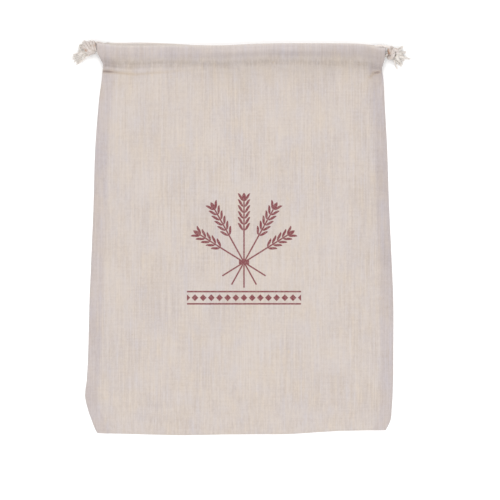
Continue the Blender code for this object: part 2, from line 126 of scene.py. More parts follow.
# Creases: a groove along a line, with a roll of cloth on its upper side
Fold = namedtuple("Fold", "x y depth")
LEFT_FOLD = (
    Fold(-150.0, 171.2, 2.4),
    Fold(-138.0, 170.9, 2.3),
    Fold(-128.0, 170.2, 2.0),
    Fold(-107.0, 167.9, 1.4),
    Fold(-86.0, 169.3, 0.8),
    Fold(-62.0, 171.5, 0.0),
)
RIGHT_FOLD = (
    Fold(127.0, 159.5, 0.0),
    Fold(130.5, 162.6, 0.5),
    Fold(134.2, 167.4, 1.1),
    Fold(138.7, 169.7, 1.3),
    Fold(150.0, 170.4, 1.4),
)
ROLL_ABOVE = 3.2
ROLL_WIDTH = 3.4
TROUGH_WIDTH = 1.0
TROUGH_SHARE = 0.62

# Painted shade along each crease, and down from the top of the casing
Tone = namedtuple("Tone", "at share")
LEFT_TONES = (
    Tone(-142.0, 0.0),
    Tone(-138.6, 0.76),
    Tone(-131.0, 0.76),
    Tone(-127.0, 0.42),
    Tone(-107.0, 0.34),
    Tone(-86.0, 0.24),
    Tone(-62.0, 0.12),
    Tone(-48.0, 0.0),
)
RIGHT_TONES = (
    Tone(129.8, 0.0),
    Tone(132.2, 0.42),
    Tone(134.4, 0.5),
    Tone(137.0, 0.76),
    Tone(140.6, 0.8),
    Tone(142.4, 0.5),
    Tone(144.4, 0.0),
)
CREASE_WIDTH = 1.4
CREASE_BELOW = 0.5
CREASE_SHARE = 0.8
CasingTone = namedtuple("CasingTone", "down left middle right")
CASING_TONES = (
    CasingTone(0.0, 0.0, 0.0, 0.0),
    CasingTone(5.0, 0.02, 0.0, 0.13),
    CasingTone(8.0, 0.05, 0.12, 0.16),
    CasingTone(10.0, 0.07, 0.18, 0.19),
    CasingTone(12.0, 0.1, 0.18, 0.2),
    CasingTone(14.0, 0.13, 0.14, 0.2),
    CasingTone(16.0, 0.15, 0.13, 0.18),
    CasingTone(18.0, 0.21, 0.19, 0.22),
    CasingTone(20.0, 0.12, 0.18, 0.23),
    CasingTone(22.0, 0.09, 0.14, 0.22),
    CasingTone(24.0, 0.05, 0.13, 0.18),
    CasingTone(26.0, 0.03, 0.12, 0.13),
    CasingTone(28.0, 0.03, 0.11, 0.11),
    CasingTone(30.0, 0.02, 0.09, 0.09),
    CasingTone(36.0, 0.0, 0.05, 0.03),
    CasingTone(44.0, 0.0, 0.02, 0.0),
    CasingTone(54.0, 0.0, 0.0, 0.0),
)
LEFT_TO_MIDDLE = (-60.0, 0.0)
MIDDLE_TO_RIGHT = (50.0, 115.0)

# Broad swells of the front layer
Swell = namedtuple("Swell", "x y across along height")
SWELLS = (
    Swell(-88.0, 96.0, 34.0, 62.0, 0.9),
    Swell(70.0, 120.0, 44.0, 40.0, 0.7),
    Swell(104.0, 10.0, 26.0, 80.0, 0.8),
    Swell(-104.0, -60.0, 24.0, 76.0, 0.7),
    Swell(14.0, -118.0, 70.0, 22.0, 0.8),
    Swell(96.0, -128.0, 24.0, 40.0, 0.6),
    Swell(-20.0, 150.0, 60.0, 12.0, 0.6),
)

# Uneven waves in the cloth's height or in its painted shade: their size across and along the bag, height and
# seed
Wave = namedtuple("Wave", "across along height seed")
WAVE_LATTICE = 256
WAVE_START = (40.3, 40.7)
BODY_WAVES = (
    Wave(62.0, 90.0, 0.7, 1),
    Wave(26.0, 48.0, 0.3, 2),
    Wave(9.0, 30.0, 0.1, 3),
)
PUCKERS = (
    Wave(5.2, 60.0, 0.42, 4),
    Wave(2.9, 40.0, 0.26, 5),
)
PUCKER_REACH = 6.5
PUCKER_INSET = 6.0
CASING_WAVES = (
    Wave(38.0, 60.0, 0.55, 6),
    Wave(11.0, 30.0, 0.28, 7),
    Wave(4.4, 18.0, 0.12, 8),
)
TONE_WAVES = (
    Wave(30.0, 30.0, 1.2, 9),
    Wave(2.4, 40.0, 0.9, 10),
)
SHADE_STREAKS = (
    Wave(5.2, 50.0, 0.03, 11),
    Wave(2.6, 30.0, 0.03, 12),
)

# Paint on the front: double cloth along its sides and top, painted shade round the sewing and on the right
# side band, and painted light along the edges and near the top
BAND_SOFT = 2.6
HEM_FADE = (10.0, 17.0)
SEWN_REACH = 4.4
RIM_REACH = 2.2
RIM_FRONT = 0.2
RIM_BACK = 0.3
TOP_GLOW = CasingTone(5.0, 0.03, 0.08, 0.02)
TOP_GLOW_REACH = 4.5
RIGHT_BAND_SHADE = 0.05
RIGHT_BAND_FADE = (-120.0, 0.0)

# The line of sewing, down from the top of the casing, and the groove that it pulls
STITCH_LINE = 19.9
STITCH_GROOVE = 0.75
STITCH_GROOVE_WIDTH = 1.2

# Grid of the cloth: lines near a side as offsets from it, and shares of the width between
EDGE_OFFSETS = (0.0, 0.4, 0.9, 1.6, 2.6, 4.0, 5.8, 7.6, END_OPENING, 11.0, 12.4, 13.8, FOLD_OPENING)
MIDDLE_COLUMNS = 158
FOLD_ANGLES = (-72, -48, -28, -9, 9, 28, 48, 72)
MOUTH_SHARES = (0.3, 0.55, 0.8, 1.0)
CASING_ROWS = 17
SHOULDER_ROWS = 28
SHOULDER_END = 52.0
BODY_ROWS = 108
BOTTOM_START = 46.0
BOTTOM_OFFSETS = (38.0, 31.0, 25.0, 20.0, 15.5, 11.5, 8.0, 5.5, 3.6, 2.2, 1.2, 0.5, 0.0)
HEM_ROWS = 9
BACK_STEP = 4
PLACE_ROUNDS = 4

# Cord routes, from one end at the knot round to the other
Point = namedtuple("Point", "x y z")
LEFT_CORD = (
    Point(-147.4, 199.2, 7.4),
    Point(-144.2, 199.8, 6.3),
    Point(-140.6, 198.9, 4.6),
    Point(-137.2, 197.0, 3.3),
    Point(-133.6, 194.6, 2.9),
    Point(-130.0, 193.4, 2.9),
    Point(-124.0, 193.3, 2.9),
    Point(-104.0, 193.3, 2.9),
    Point(-66.0, 193.4, 2.9),
    Point(-15.0, 193.5, 2.9),
    Point(15.0, 195.0, 2.9),
    Point(50.0, 195.6, 2.9),
    Point(97.0, 195.5, 2.9),
    Point(118.0, 195.1, 2.9),
    Point(129.0, 194.0, 2.9),
    Point(137.0, 193.8, 2.9),
    Point(139.8, 193.2, 3.4),
    Point(141.8, 191.7, 4.7),
    Point(142.5, 189.6, 6.3),
    Point(141.8, 187.5, 7.9),
    Point(139.8, 186.0, 9.1),
    Point(137.0, 185.4, 9.6),
    Point(131.0, 185.9, 10.2),
    Point(124.0, 186.9, 11.0),
    Point(118.0, 187.2, 11.7),
    Point(110.0, 187.5, 12.55),
    Point(100.0, 187.6, 13.1),
    Point(80.0, 187.7, 13.3),
    Point(50.0, 187.7, 13.3),
    Point(15.0, 187.1, 13.3),
    Point(-15.0, 185.6, 13.3),
    Point(-45.0, 185.4, 13.3),
    Point(-86.0, 185.5, 13.3),
    Point(-98.0, 185.4, 13.1),
    Point(-108.0, 185.4, 12.3),
    Point(-118.0, 185.5, 11.2),
    Point(-126.0, 185.5, 10.3),
    Point(-136.0, 185.5, 9.5),
    Point(-140.5, 186.5, 9.1),
    Point(-143.4, 188.7, 8.8),
    Point(-145.0, 191.4, 8.4),
    Point(-146.15, 193.0, 8.0),
)
RIGHT_CORD = (
    Point(151.1, 188.5, 6.8),
    Point(148.9, 187.3, 5.4),
    Point(146.2, 185.8, 3.6),
    Point(142.0, 184.9, 2.9),
    Point(136.5, 185.0, 2.9),
    Point(124.0, 186.9, 2.9),
    Point(110.0, 187.5, 2.9),
    Point(80.0, 187.7, 2.9),
    Point(50.0, 187.7, 2.9),
    Point(15.0, 187.1, 2.9),
    Point(-15.0, 185.6, 2.9),
    Point(-45.0, 185.4, 2.9),
    Point(-118.0, 185.5, 2.9),
    Point(-128.0, 184.8, 2.9),
    Point(-134.0, 184.5, 2.9),
    Point(-136.8, 185.1, 3.4),
    Point(-138.9, 186.7, 4.6),
    Point(-139.6, 188.9, 6.2),
    Point(-138.9, 191.1, 7.9),
    Point(-136.8, 192.7, 9.1),
    Point(-134.0, 193.3, 9.6),
    Point(-126.0, 193.4, 10.5),
    Point(-118.0, 193.4, 11.5),
    Point(-108.0, 193.3, 12.55),
    Point(-98.0, 193.3, 13.1),
    Point(-86.0, 193.4, 13.3),
    Point(-66.0, 193.4, 13.3),
    Point(-15.0, 193.5, 13.3),
    Point(15.0, 195.0, 13.3),
    Point(50.0, 195.6, 13.3),
    Point(80.0, 195.6, 13.3),
    Point(100.0, 195.5, 13.1),
    Point(110.0, 195.4, 12.55),
    Point(118.0, 195.1, 11.7),
    Point(124.0, 194.7, 11.0),
    Point(131.0, 193.8, 10.15),
    Point(134.4, 194.4, 9.7),
    Point(137.6, 195.5, 9.3),
    Point(141.0, 196.2, 9.0),
    Point(144.6, 196.1, 8.6),
    Point(148.4, 195.6, 8.2),
    Point(152.2, 194.9, 7.8),
)
CORD_STEP = 0.8
CORD_SIDES = 15
PLIES = 3
PLY_GROOVE = 0.24
PLY_PITCH = 10.0

# Off the middle, where a cord comes out at the sides, and how much painted light makes it paler there
CORD_OUT = (130.0, 137.0)
CORD_RIM_LIGHT = 0.38

# A direction that no tube starts along
TUBE_ASIDE = (0.31, 0.17, 0.94)

# The left knot: a cord wound round and round along a bent head, over a core
LEFT_HEAD = (Point(-148.2, 195.6, 7.5), Point(-154.6, 193.4, 7.5), Point(-160.4, 188.6, 7.5))
WIND_SPAN = (-0.04, 0.72)
WIND_TURNS = 4.6
WIND_START = 0.1
WIND_STEPS = 300
WIND_RADIUS = 5.7
WIND_CORD = 1.7
WIND_PITCH = 5.5
WIND_GROOVE = 0.42
WIND_TAPER = 0.8
WIND_EASE = 4.0
WIND_CORE_STEPS = 9
WIND_CORE_ROUNDING = 0.5
WIND_CORE_SIDES = 14

# The right knot: a cord in three lobes round a centre, over a core
LOOP_CENTRE = (155.0, 189.6, 6.4)
LOOP_SIZE = Point(1.5, 2.0, 3.1)
LOOP_CORD = 2.15
LOOP_LEAN = -28.0
LOOP_START = 0.7
LOOP_TURN = 0.985
LOOP_STEPS = 240
LOOP_CORE = (Point(-2.6, 1.4, 0.0), Point(-1.2, 0.6, 0.0), Point(0.6, -0.4, 0.0), Point(2.2, -1.2, 0.0))
LOOP_CORE_RADII = (2.4, 4.3, 4.3, 2.4)
LOOP_CORE_SIDES = 12

# Where a knot gets painted shade in its hollows, deep between its turns
Hollow = namedtuple("Hollow", "x y size")
LEFT_HOLLOWS = (Hollow(-156.8, 191.2, 1.5), Hollow(-146.4, 196.8, 1.8), Hollow(-155.4, 184.9, 1.4))
RIGHT_HOLLOWS = (Hollow(149.9, 191.7, 1.8), Hollow(151.2, 188.6, 1.6))

# Frayed ends: each lock runs from its root to its tip, with its width at both and its count of fibres
Lock = namedtuple("Lock", "root tip width end_width count")
LEFT_LOCKS = (
    Lock((-152.6, 191.6), (-168.6, 182.4), 7.4, 9.6, 200),
    Lock((-151.4, 193.6), (-164.6, 194.6), 6.0, 7.0, 90),
    Lock((-150.8, 195.2), (-161.0, 200.2), 5.4, 5.6, 66),
)
RIGHT_LOCKS = (
    Lock((158.4, 190.4), (166.0, 196.4), 5.2, 1.2, 40),
    Lock((158.8, 189.6), (168.8, 190.2), 5.6, 1.8, 48),
    Lock((158.8, 188.2), (166.4, 187.2), 5.6, 4.2, 46),
    Lock((158.6, 187.2), (172.6, 183.7), 4.6, 0.9, 36),
    Lock((158.2, 186.2), (166.6, 181.0), 5.4, 3.6, 48),
    Lock((157.4, 185.2), (165.2, 176.4), 4.8, 2.4, 44),
    Lock((156.0, 183.6), (160.7, 172.2), 1.0, 0.5, 9),
)
LOCK_SEED = 21
LOCK_LEVEL = (2.6, 7.4)
LOCK_REST = 4.4
FIBRE = 0.3
FIBRE_LOWEST = FIBRE * 1.1
FIBRE_BENDS = 7
FIBRE_SIDES = 4
FIBRE_TAPER = 0.4
FIBRE_STRAY = 0.12
FIBRE_SETTLED = 0.85

# Shares of a lock's length that its fibres reach, how many of them are of the short kind, and their curl
SHORT_FIBRES = (0.8, 1.0)
LONG_FIBRES = (1.0, 1.12)
SHORT_SHARE = 0.9
CURL = (0.15, 0.6)
CURL_ACROSS = 5.0
CURL_UP = 4.0

# Sewing thread, from near one side to near the other
STITCH_ENDS = (-140.0, 140.0)
STITCH_INSET = 5.0
STITCH_PITCH = 3.1
STITCH_LENGTH = 2.1
STITCH_RADIUS = 0.17
STITCH_SIDES = 6
STITCH_ARCH = (-0.3, 0.1, 0.18, 0.1, -0.3)

# Colours as the photo shows them, from 0 to 255
WARM_COTTON = (200, 188, 178)
COOL_COTTON = (194, 186, 185)
DEEP_THREAD = (182, 170, 163)
PALE_PATCH = (205, 195, 188)
# Painted light along the rims of the cloth and cords
RIM_LIGHT = (250, 243, 237)
FLECK = (150, 118, 98)
STAIN = (206, 188, 160)
# Painted shade in the creases, brown where deep and ochre where faint
DEEP_CREASE_SHADE = (118, 96, 84)
FAINT_CREASE_SHADE = (172, 146, 106)
CORD_COLOUR = (219, 211, 207)
CORD_DEEP = (180, 164, 151)
# Painted shade in the knots' hollows
HOLLOW_SHADE_COLOUR = (150, 104, 66)
FIBRE_COLOUR = (240, 235, 231)
FIBRE_DEEP = (228, 218, 206)
THREAD_COLOUR = (188, 175, 166)
THREAD_DEEP = (172, 158, 148)
LIT_SHARE = 0.91
HOLLOW_SHARE = 0.8

# Shares of the light that double cloth gives back and that painted shade leaves, and cooler and warmer
# patches
DOUBLE_LAYER = (0.915, 0.915, 0.955, 1.0)
SHADOW = (0.28, 0.24, 0.2, 1.0)
COOLER = (1.0, 1.008, 1.024, 1.0)
WARMER = (1.012, 1.004, 0.978, 1.0)
FLOOR_COLOUR = (0.97, 0.97, 0.97, 1.0)
FLOOR = 4000.0

# Finishes, with the height of their bumps
Finish = namedtuple("Finish", "name roughness sheen bump strength")
WOVEN_FINISH = Finish("woven_cotton", 0.92, 0.12, 0.24, 0.4)
CORD_FINISH = Finish("cord_cotton", 0.9, 0.2, 0.3, 0.5)
FIBRE_FINISH = CORD_FINISH._replace(name="fibre_cotton")
SEWING_FINISH = CORD_FINISH._replace(name="sewing_cotton")
FLOOR_FINISH = Finish("pale_floor", 1.0, 0.0, 0.0, 0.0)
SPECULAR = 0.25
SHEEN_ROUGHNESS = 0.55

# Noises: their sizes across, along and through the cloth, their detail, and their weight beside others
Noise = namedtuple("Noise", "across along through detail weight", defaults=(1.0,))
WARP = Noise(1.3, 44.0, 4.0, 2.0, 0.55)
WEFT = Noise(26.0, 1.5, 4.0, 2.0, 0.2)
FINE = Noise(1.1, 1.3, 1.2, 1.0, 0.25)
SLUB = Noise(3.2, 70.0, 9.0, 1.0, 0.6)
PATCH = Noise(9.0, 16.0, 12.0, 2.0, 0.6)
BROAD = Noise(30.0, 38.0, 20.0, 1.0, 0.5)
MOTTLE = Noise(2.2, 4.2, 3.0, 1.0, 0.5)
WARMTH = Noise(20.0, 24.0, 20.0, 3.0)
FLECKS = Noise(0.9, 2.6, 1.5, 1.0)
STAINS = Noise(5.0, 7.0, 5.0, 1.0)
WEAR = Noise(0.8, 1.1, 1.0, 3.0)
GATHERS = Noise(1.7, 15.0, 8.0, 1.0)
YARN = Noise(0.5, 0.5, 0.5, 4.0, 0.6)
YARN_PATCHES = Noise(3.0, 3.0, 3.0, 1.0, 0.4)

# What range of a noise or of a painted share is taken to what range of a colour's share
Span = namedtuple("Span", "low high start end", defaults=(0.0, 1.0))
HUE_SPAN = Span(0.45, 0.75)
THREAD_SPAN = Span(0.34, 0.62)
PALE_SPAN = Span(0.38, 0.64, 0.0, 0.42)
WARMTH_SPAN = Span(0.36, 0.64)
FLECK_SPAN = Span(0.77, 0.84, 0.0, 0.5)
STAIN_SPAN = Span(0.74, 0.86, 0.0, 0.35)
WEAR_SPAN = Span(0.34, 0.52, 0.7, 1.0)
GATHER_SPAN = Span(0.3, 0.7, -0.09, 0.09)
CREASE_SPAN = Span(0.32, 0.55)
YARN_SPAN = Span(0.32, 0.6)

# The weave's bumps: from one thread to the next, and their height beside the noise of the threads
THREAD = 0.62
WEAVE_WEIGHT = 0.5

# Light. The lamps' places and sizes are in metres.
WORLD_LIGHT = 1.0
Lamp = namedtuple("Lamp", "name place size energy")
LAMPS = (
    Lamp("key", (-0.5, 1.3, 2.6), 1.6, 18.5),
    Lamp("fill", (0.4, -1.2, 2.4), 2.2, 22.0),
)

# Print: a sheaf of wheat over a band of lozenges, in its own middle's measures
PRINT_CENTRE = (4.1, -10.7)
INK = (122, 62, 67)
TIE_LEVEL = -13.0
TIE_HALF_WIDTH = 5.2
TIE_HALF_HEIGHT = 2.3
GRAIN_PITCH = 6.0
GRAIN_LEAN = 1.25
GRAIN_MIDDLE = 3.4
GRAIN_HALF = 3.0
GRAIN_WIDTH = 2.3
TIP_LIFT = 1.5
TIP_HALF = 4.4
TIP_WIDTH = 2.0
STEM_HALF = 0.75
STEM_BELOW = 26.0
BAND_LEVEL = -49.0
BAND_HALF = 58.0
BAND_RULE = 6.2
RULE_HALF = 0.8
LOZENGE_PITCH = 8.3
LOZENGE_HALF = 3.5
EDGE_SOFT = 0.22
Ear = namedtuple("Ear", "angle start grains")
EARS = (
    Ear(-58.0, 25.0, 5),
    Ear(-29.0, 28.0, 6),
    Ear(0.0, 29.0, 6),
    Ear(29.0, 28.0, 6),
    Ear(58.0, 25.0, 5),
)


def smooth(share):
    share = np.clip(share, 0.0, 1.0)
    return share * share * (3 - 2 * share)


def rise(distance, reach):
    """From 0 at an edge to 1 at its reach, steepest at the edge."""
    return 1 - (1 - np.clip(distance / reach, 0.0, 1.0)) ** 2


def between(value, span):
    """From 0 at a span's start to 1 at its end, softly."""
    return smooth((value - span[0]) / (span[1] - span[0]))


def mix(a, b, share):
    return a + (b - a) * share


def bell(distance, width):
    return np.exp(-((distance / width) ** 2))


def read(rows, key, column, at):
    """The column's values on a smooth curve through the rows of a table, which are in the key's order."""
    keys = np.array([getattr(row, key) for row in rows])
    values = np.array([getattr(row, column) for row in rows])
    if keys[0] > keys[-1]:
        keys, values = keys[::-1], values[::-1]
    slopes = np.empty(len(keys))
    slopes[1:-1] = (values[2:] - values[:-2]) / (keys[2:] - keys[:-2])
    slopes[0] = (values[1] - values[0]) / (keys[1] - keys[0])
    slopes[-1] = (values[-1] - values[-2]) / (keys[-1] - keys[-2])
    at = np.clip(at, keys[0], keys[-1])
    i = np.clip(np.searchsorted(keys, at) - 1, 0, len(keys) - 2)
    span = keys[i + 1] - keys[i]
    t = (at - keys[i]) / span
    start = (1 + 2 * t) * (1 - t) ** 2 * values[i] + t * (1 - t) ** 2 * span * slopes[i]
    end = t * t * (3 - 2 * t) * values[i + 1] - t * t * (1 - t) * span * slopes[i + 1]
    return start + end


def waves(table, x, y):
    """Smooth uneven waves over a place, from a seeded lattice of heights for each row of the table."""
    total = np.zeros(np.shape(x))
    for row in table:
        lattice = np.random.default_rng(row.seed).uniform(-1, 1, (WAVE_LATTICE, WAVE_LATTICE))
        u = x / row.across + WAVE_START[0]
        v = y / row.along + WAVE_START[1]
        i = np.floor(u).astype(int)
        j = np.floor(v).astype(int)
        s = smooth(u - i)
        t = smooth(v - j)
        i, next_i = i % WAVE_LATTICE, (i + 1) % WAVE_LATTICE
        j, next_j = j % WAVE_LATTICE, (j + 1) % WAVE_LATTICE
        low = mix(lattice[i, j], lattice[next_i, j], s)
        high = mix(lattice[i, next_j], lattice[next_i, next_j], s)
        total += row.height * mix(low, high, t)
    return total


def left_edge(y):
    return read(SIDES, "y", "left", y)


def right_edge(y):
    return read(SIDES, "y", "right", y)


def front_top(x):
    return read(ENDS, "x", "front", x)


def back_top(x):
    return read(ENDS, "x", "back", x)


def bottom(x):
    return read(ENDS, "x", "bottom", x)


def from_side(x, y):
    return np.maximum(0.0, np.minimum(x - left_edge(y), right_edge(y) - x))


def front_hem_level(x, y):
    share = smooth(from_side(x, y) / MOUTH_REACH)
    return CASING_HEIGHT + mix(MOUTH_GAP_END, MOUTH_GAP_MIDDLE, share)


def fold_relief(rows, x, y):
    """What a crease adds to the front layer's height: a roll above its line and a groove along it."""
    on_it = (x >= rows[0].x) & (x <= rows[-1].x)
    above = y - read(rows, "x", "y", x)
    roll = bell(above - ROLL_ABOVE, ROLL_WIDTH)
    trough = TROUGH_SHARE * bell(above, TROUGH_WIDTH)
    return on_it * np.maximum(0.0, read(rows, "x", "depth", x)) * (roll - trough)


def crease_shade(x, y):
    """How much painted shade the cloth gets in a crease, from 0 to 1."""
    total = np.zeros(np.shape(x))
    for rows, tones in ((LEFT_FOLD, LEFT_TONES), (RIGHT_FOLD, RIGHT_TONES)):
        above = y - read(rows, "x", "y", x)
        total += np.maximum(0.0, read(tones, "at", "share", x)) * bell(above + CREASE_BELOW, CREASE_WIDTH)
    return np.clip(total, 0.0, 1.0)


def along_casing(x, left, middle, right):
    """What goes from one value at the left over another in the middle to one at the right."""
    return mix(mix(left, middle, between(x, LEFT_TO_MIDDLE)), right, between(x, MIDDLE_TO_RIGHT))


def casing_shade(x, down):
    """How much painted shade the casing and the cloth below it get, from 0 to 1."""
    return along_casing(x, *(read(CASING_TONES, "down", part, down) for part in ("left", "middle", "right")))


def body_level(x, y):
    """Outer height of the front layer over the body: two flat layers at the seams, lofted between."""
    share = rise(from_side(x, y), LOFT_REACH) * rise(y - bottom(x), LOFT_REACH)
    relief = waves(BODY_WAVES, x, y)
    for s in SWELLS:
        relief = relief + s.height * bell(x - s.x, s.across) * bell(y - s.y, s.along)
    return mix(SEAM_HEIGHT, LOFT, share) + share * relief


def edge_drop(x, y):
    near = np.minimum(from_side(x, y), np.maximum(0.0, y - bottom(x)))
    return EDGE_DROP * (1 - rise(near, EDGE_REACH))


def allowance(x, y, down):
    """The front layer is raised over the seam allowance that is turned in along each side."""
    inside = from_side(x, y)
    inner = smooth((SEAM_ALLOWANCE - inside) / ALLOWANCE_EASE)
    below = smooth((down - CASING_DEPTH) / STITCH_EASE)
    return ALLOWANCE_RISE * smooth(inside / ALLOWANCE_EASE) * inner * below


def front_level(x, y):
    """Outer height of the front layer with its seams, puckers and creases, but without its top fold."""
    down = np.maximum(0.0, front_top(x) - y)
    sewn = front_hem_level(x, y) + 2 * SOLID_CLOTH
    puff = smooth((CASING_DEPTH - down) / CASING_SLOPE)
    casing = sewn + CORD_ROOM * puff + puff * (waves(CASING_WAVES, x, y) - CASING_SINK)
    share = smooth((down - CASING_DEPTH) / SHOULDER)
    relief = fold_relief(LEFT_FOLD, x, y) + fold_relief(RIGHT_FOLD, x, y)
    body = mix(sewn, body_level(x, y), share) + relief * smooth((down - CASING_DEPTH) / STITCH_EASE)
    level = np.where(down < CASING_DEPTH, casing, body)
    near_line = bell(down - STITCH_LINE, PUCKER_REACH)
    level = level + near_line * waves(PUCKERS, x, y) * smooth(from_side(x, y) / PUCKER_INSET)
    level = level - STITCH_GROOVE * bell(down - STITCH_LINE, STITCH_GROOVE_WIDTH)
    return level + allowance(x, y, down) - edge_drop(x, y)


# The cloth is one strip of rows: from the front's hem over its top fold, down the front, round the bottom,
# up the back and over to its hem. A row's kind tells what its value is measured from, and its angle is its
# turn in a top fold.
Row = namedtuple("Row", "kind value layer angle", defaults=(None,))


def row_y(row, x):
    """A row's y at x."""
    if row.kind == "front":
        return front_top(x) - row.value
    if row.kind == "back":
        return back_top(x) - row.value
    if row.kind == "bottom":
        return bottom(x) + row.value
    if row.kind == "body":
        return mix(front_top(x) - SHOULDER_END, bottom(x) + BOTTOM_START, row.value)
    return mix(front_top(x) - CASING_DEPTH - HEM_TAIL, back_top(x) - FOLD_REACH, row.value)


def strip_rows():
    """The rows of the front's hem, of the front, of the back and of the back's hem, in order."""
    turns = [(angle, FOLD_REACH * (1 - math.cos(math.radians(angle)))) for angle in FOLD_ANGLES]
    hem = np.linspace(CASING_DEPTH + HEM_TAIL, FOLD_REACH, HEM_ROWS)
    rows = [Row("front", value, "front hem") for value in hem]
    rows += [Row("front", value, "outer" if angle > 0 else "front hem", angle) for angle, value in turns]
    over = [Row("front", value, "outer") for value in np.linspace(FOLD_REACH, CASING_DEPTH, CASING_ROWS)]
    shoulder = np.linspace(CASING_DEPTH, SHOULDER_END, SHOULDER_ROWS)
    below = [Row("front", value, "outer") for value in shoulder]
    below += [Row("body", n / BODY_ROWS, "outer") for n in range(1, BODY_ROWS)]
    below += [Row("bottom", value, "outer") for value in (BOTTOM_START, *BOTTOM_OFFSETS)]
    rows += over[:-1] + below
    under = below[::-1][::BACK_STEP]
    under += [] if under[-1] == below[0] else [below[0]]
    rows += [Row(row.kind, row.value, "under") for row in under]
    rows += [Row("mouth", share, "under") for share in MOUTH_SHARES]
    rows += [Row("back", value, "back hem" if angle > 0 else "under", angle) for angle, value in turns]
    return rows + [Row("mouth", share, "back hem") for share in np.linspace(1.0, 0.0, HEM_ROWS)]


def level_of(row, x, y):
    """The height of a row's corners."""
    down = np.maximum(0.0, front_top(x) - y)
    levels = {
        "front hem": front_hem_level(x, y),
        "outer": front_level(x, y),
        "under": np.zeros(len(x)),
        "back hem": SOLID_CLOTH * 2 + CORD_ROOM * smooth((CASING_DEPTH - down) / CASING_SLOPE),
    }
    level = levels[row.layer]
    if row.angle is None:
        return level
    low, high = ("under", "back hem") if row.kind == "back" else ("front hem", "outer")
    turned = mix(levels[low], levels[high], (1 + math.sin(math.radians(row.angle))) / 2)
    share = between(from_side(x, y), (END_OPENING, FOLD_OPENING))
    return mix(level, turned, share)


def column_table():
    """Each column's side, -1 left, 1 right or 0 between, and its offset from there or share of the width."""
    left = [(-1, offset) for offset in EDGE_OFFSETS]
    middle = [(0, n / MIDDLE_COLUMNS) for n in range(1, MIDDLE_COLUMNS)]
    right = [(1, offset) for offset in reversed(EDGE_OFFSETS)]
    return np.array(left + middle + right, float)


def place(columns, row):
    """The x and y of a row's corners, on columns that follow the bag's sides."""
    y = np.zeros(len(columns))
    for _ in range(PLACE_ROUNDS):
        left, right = left_edge(y), right_edge(y)
        inset = EDGE_OFFSETS[-1]
        x = mix(left + inset, right - inset, columns[:, 1])
        x = np.where(columns[:, 0] < 0, left + columns[:, 1], x)
        x = np.where(columns[:, 0] > 0, right - columns[:, 1], x)
        y = row_y(row, x)
    return x, y


def mesh_of(name, spots, faces, finish, shades=None):
    """A smooth mesh object from corners in millimetres and lists of corner numbers. Each name in shades has
    a number for each corner."""
    mesh = bpy.data.meshes.new(name)
    mesh.from_pydata((np.asarray(spots) * MM).tolist(), [], [list(map(int, face)) for face in faces])
    for title, values in (shades or {}).items():
        painted = mesh.attributes.new(title, "FLOAT", "POINT")
        painted.data.foreach_set("value", np.asarray(values, np.float32))
    mesh.shade_smooth()
    mesh.materials.append(finish)
    ob = bpy.data.objects.new(name, mesh)
    bpy.context.scene.collection.objects.link(ob)
    return ob


def cloth_shades(row, x, y):
    """What is painted on a row's corners, by name, painted shade and painted light among it. All but the rim
    light is on the front's outside only.
    """
    outer = float(row.layer == "outer")
    down = np.maximum(0.0, front_top(x) - y)
    band = 1 - smooth((from_side(x, y) - SEAM_ALLOWANCE + BAND_SOFT) / (2 * BAND_SOFT))
    hem = smooth(down / BAND_SOFT) * (1 - between(down, HEM_FADE))
    # Painted shade: the casing's own, streaks of it from the puckers, and a little on the right side band
    shade_streaks = waves(SHADE_STREAKS, x, y) * (1 - smooth((down - CASING_DEPTH) / SHOULDER_END))
    right_band = band * (x > 0) * smooth((down - CASING_DEPTH) / SHOULDER) * between(y, RIGHT_BAND_FADE)
    tone = casing_shade(x, down + waves(TONE_WAVES, x, y)) + shade_streaks + RIGHT_BAND_SHADE * right_band
    # Painted light near the top of the casing, added to the painted light along every rim
    glow = along_casing(x, TOP_GLOW.left, TOP_GLOW.middle, TOP_GLOW.right)
    glow = glow * bell(down - TOP_GLOW.down, TOP_GLOW_REACH) * outer
    return {
        "front": np.full(len(x), outer),
        "layers": np.maximum(band, hem) * outer,
        "crease": crease_shade(x, y) * outer,
        "tone": np.maximum(0.0, tone) * outer,
        "sewn": bell(down - STITCH_LINE, SEWN_REACH) * outer,
        "rim_light": bell(down, RIM_REACH) * (RIM_FRONT if outer else RIM_BACK) + glow,
    }


def make_cloth(finish):
    """The bag as one strip of thin cloth, joined along both sides below the casings."""
    columns = column_table()
    rows = strip_rows()
    across = len(columns)
    spots, inside, shades = [], [], []
    for row in rows:
        x, y = place(columns, row)
        spots.append(np.stack([x, y, level_of(row, x, y)], 1))
        inside.append(from_side(x, y))
        shades.append(cloth_shades(row, x, y))
    faces = []
    for r, (near, far) in enumerate(zip(rows, rows[1:])):
        near_hem, far_hem = "hem" in near.layer, "hem" in far.layer
        reach = FOLD_OPENING if near_hem != far_hem else END_OPENING if near_hem else 0.0
        for c in range(across - 1):
            if inside[r][c] + inside[r][c + 1] >= 2 * reach:
                start = r * across + c
                faces.append((start, start + across, start + across + 1, start + 1))
    faces += side_walls(rows, across)
    painted = {title: np.concatenate([shade[title] for shade in shades]) for title in shades[0]}
    cloth = mesh_of("bag_sheet", np.concatenate(spots), faces, finish, painted)
    thicken = cloth.modifiers.new("cloth", "SOLIDIFY")
    thicken.thickness = CLOTH * MM
    thicken.offset = -1.0
    return cloth


def side_walls(rows, across):
    """Faces that join the front's edges to the back's along both sides, below the casings."""
    over = {}
    for n, row in enumerate(rows):
        if row.layer == "outer" and row.angle is None:
            over[row.kind, row.value] = n
    pairs = []
    for n, row in enumerate(rows):
        if row.layer == "under" and (row.kind, row.value) in over:
            pairs.append((n, over[row.kind, row.value]))
    walls = []
    for (near, over_near), (far, over_far) in zip(pairs, pairs[1:]):
        ring = [n * across for n in (near, *range(over_near, over_far - 1, -1), far)]
        walls.append(ring)
        walls.append([n + across - 1 for n in reversed(ring)])
    return walls


